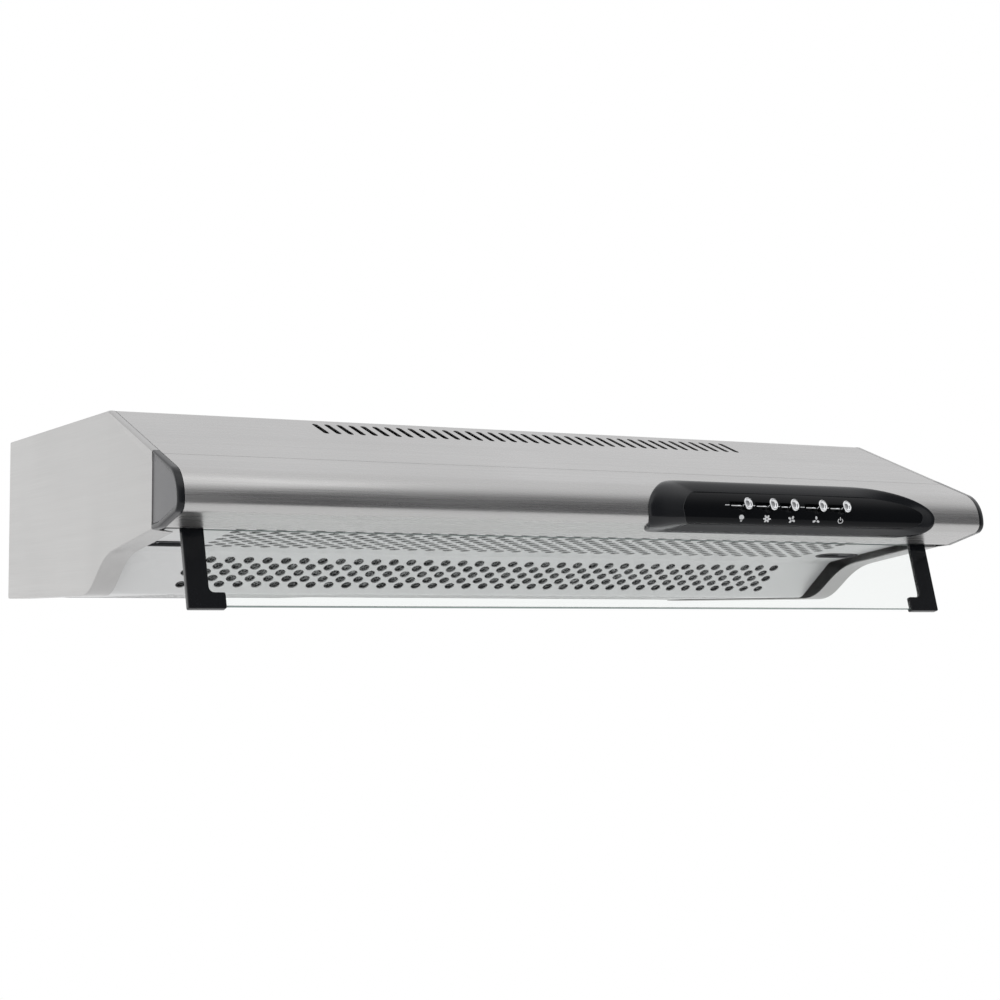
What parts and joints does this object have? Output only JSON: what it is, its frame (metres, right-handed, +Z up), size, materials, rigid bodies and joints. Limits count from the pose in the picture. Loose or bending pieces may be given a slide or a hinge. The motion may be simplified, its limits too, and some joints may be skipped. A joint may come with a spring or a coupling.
{
  "type": "under cabinet range hood",
  "caption": "Slim steel range hood with a rounded front, slider controls, front vent slots, a folding glass visor and a perforated filter tray that swings down.",
  "frame": {"origin": "middle of the flat top plate, on its upper face, where the cabinet rests", "axes": "+X along the front to the right as seen from the room, +Y to the wall, +Z up out of the top plate"},
  "size_m": [0.76, 0.5119, 0.1634],
  "materials": {
    "brushed_steel": "fine brushing along the width",
    "satin_steel": "fine satin brushing",
    "galvanised_steel": "zinc coated sheet",
    "gloss_black": "polished black moulding",
    "satin_black": "fine moulded texture",
    "grey_plastic": "fine moulded texture",
    "bright_chrome": "polished plating",
    "tray_aluminium": "pale satin sheet",
    "filter_mesh": null,
    "clear_glass": "clear toughened glass",
    "opal_glass": "opal lamp glass",
    "white_plastic": "moulded lamp holder",
    "grey_nylon": "moulded impeller"
  },
  "bodies": {
    "hood": {"back_panel": "galvanised_steel", "blower_base": "galvanised_steel", "blower_housing": "galvanised_steel", "blower_screw_1": "bright_chrome", "blower_screw_2": "bright_chrome", "blower_screw_3": "bright_chrome", "blower_screw_4": "bright_chrome", "capacitor": "grey_plastic", "control_bezel": "gloss_black", "control_face": "gloss_black", "cord_gland": "satin_black", "front_fascia": "brushed_steel", "front_rail": "galvanised_steel", "inlet_guard": "satin_black", "lamp_bulb": "opal_glass", "lamp_holder": "white_plastic", "lamp_reflector": "tray_aluminium", "left_end_plate": "grey_plastic", "left_end_rim": "gloss_black", "left_filter_hinge": "galvanised_steel", "left_side_panel": "satin_steel", "left_visor_hinge": "satin_black", "motor_body": "galvanised_steel", "motor_bracket": "galvanised_steel", "outlet_blank": "galvanised_steel", "right_end_plate": "grey_plastic", "right_end_rim": "gloss_black", "right_filter_hinge": "galvanised_steel", "right_side_panel": "satin_steel", "right_visor_hinge": "satin_black", "switch_block": "satin_black", "terminal_box": "satin_black", "top_panel": "brushed_steel"},
    "filter": {"filter_grille": "tray_aluminium", "filter_mat": "filter_mesh", "mat_clip": "bright_chrome", "left_latch_cup": "satin_black", "right_latch_cup": "satin_black"},
    "visor": {"visor_glass": "clear_glass", "left_visor_bracket": "gloss_black", "right_visor_bracket": "gloss_black", "left_visor_pin": "bright_chrome", "right_visor_pin": "bright_chrome"},
    "impeller": {"impeller": "grey_nylon", "motor_shaft": "bright_chrome"},
    "left_latch": {"left_latch": "grey_plastic"},
    "right_latch": {"right_latch": "grey_plastic"},
    "lamp_knob": {"lamp_knob": "bright_chrome"},
    "high_speed_knob": {"high_speed_knob": "bright_chrome"},
    "medium_speed_knob": {"medium_speed_knob": "bright_chrome"},
    "low_speed_knob": {"low_speed_knob": "bright_chrome"},
    "power_knob": {"power_knob": "bright_chrome"}
  },
  "joints": [
    {"name": "visor_tilt", "type": "hinge", "parent": "hood", "child": "visor", "pos_m": [0, -0.283, -0.0975], "axis": [1, 0, 0], "range_deg": [0, 88]},
    {"name": "filter_swing", "type": "hinge", "parent": "hood", "child": "filter", "pos_m": [0, 0.15, -0.143], "axis": [1, 0, 0], "range_deg": [0, 80]},
    {"name": "impeller_spin", "type": "hinge", "parent": "hood", "child": "impeller", "pos_m": [0, -0.001, -0.05], "axis": [0, 0, 1], "continuous": true},
    {"name": "left_latch_slide", "type": "slide", "parent": "filter", "child": "left_latch", "axis": [1, 0, 0], "range_m": [0, 0.008], "stiffness_N_per_m": 200, "springref_m": -0.003},
    {"name": "right_latch_slide", "type": "slide", "parent": "filter", "child": "right_latch", "axis": [-1, 0, 0], "range_m": [0, 0.008], "stiffness_N_per_m": 200, "springref_m": -0.003},
    {"name": "lamp_slide", "type": "slide", "parent": "hood", "child": "lamp_knob", "axis": [1, 0, 0], "range_m": [-0.01, 0]},
    {"name": "high_speed_slide", "type": "slide", "parent": "hood", "child": "high_speed_knob", "axis": [1, 0, 0], "range_m": [-0.01, 0]},
    {"name": "medium_speed_slide", "type": "slide", "parent": "hood", "child": "medium_speed_knob", "axis": [1, 0, 0], "range_m": [-0.006, 0.0037]},
    {"name": "low_speed_slide", "type": "slide", "parent": "hood", "child": "low_speed_knob", "axis": [1, 0, 0], "range_m": [-0.01, 0]},
    {"name": "power_slide", "type": "slide", "parent": "hood", "child": "power_knob", "axis": [1, 0, 0], "range_m": [-0.01, 0]}
  ]
}
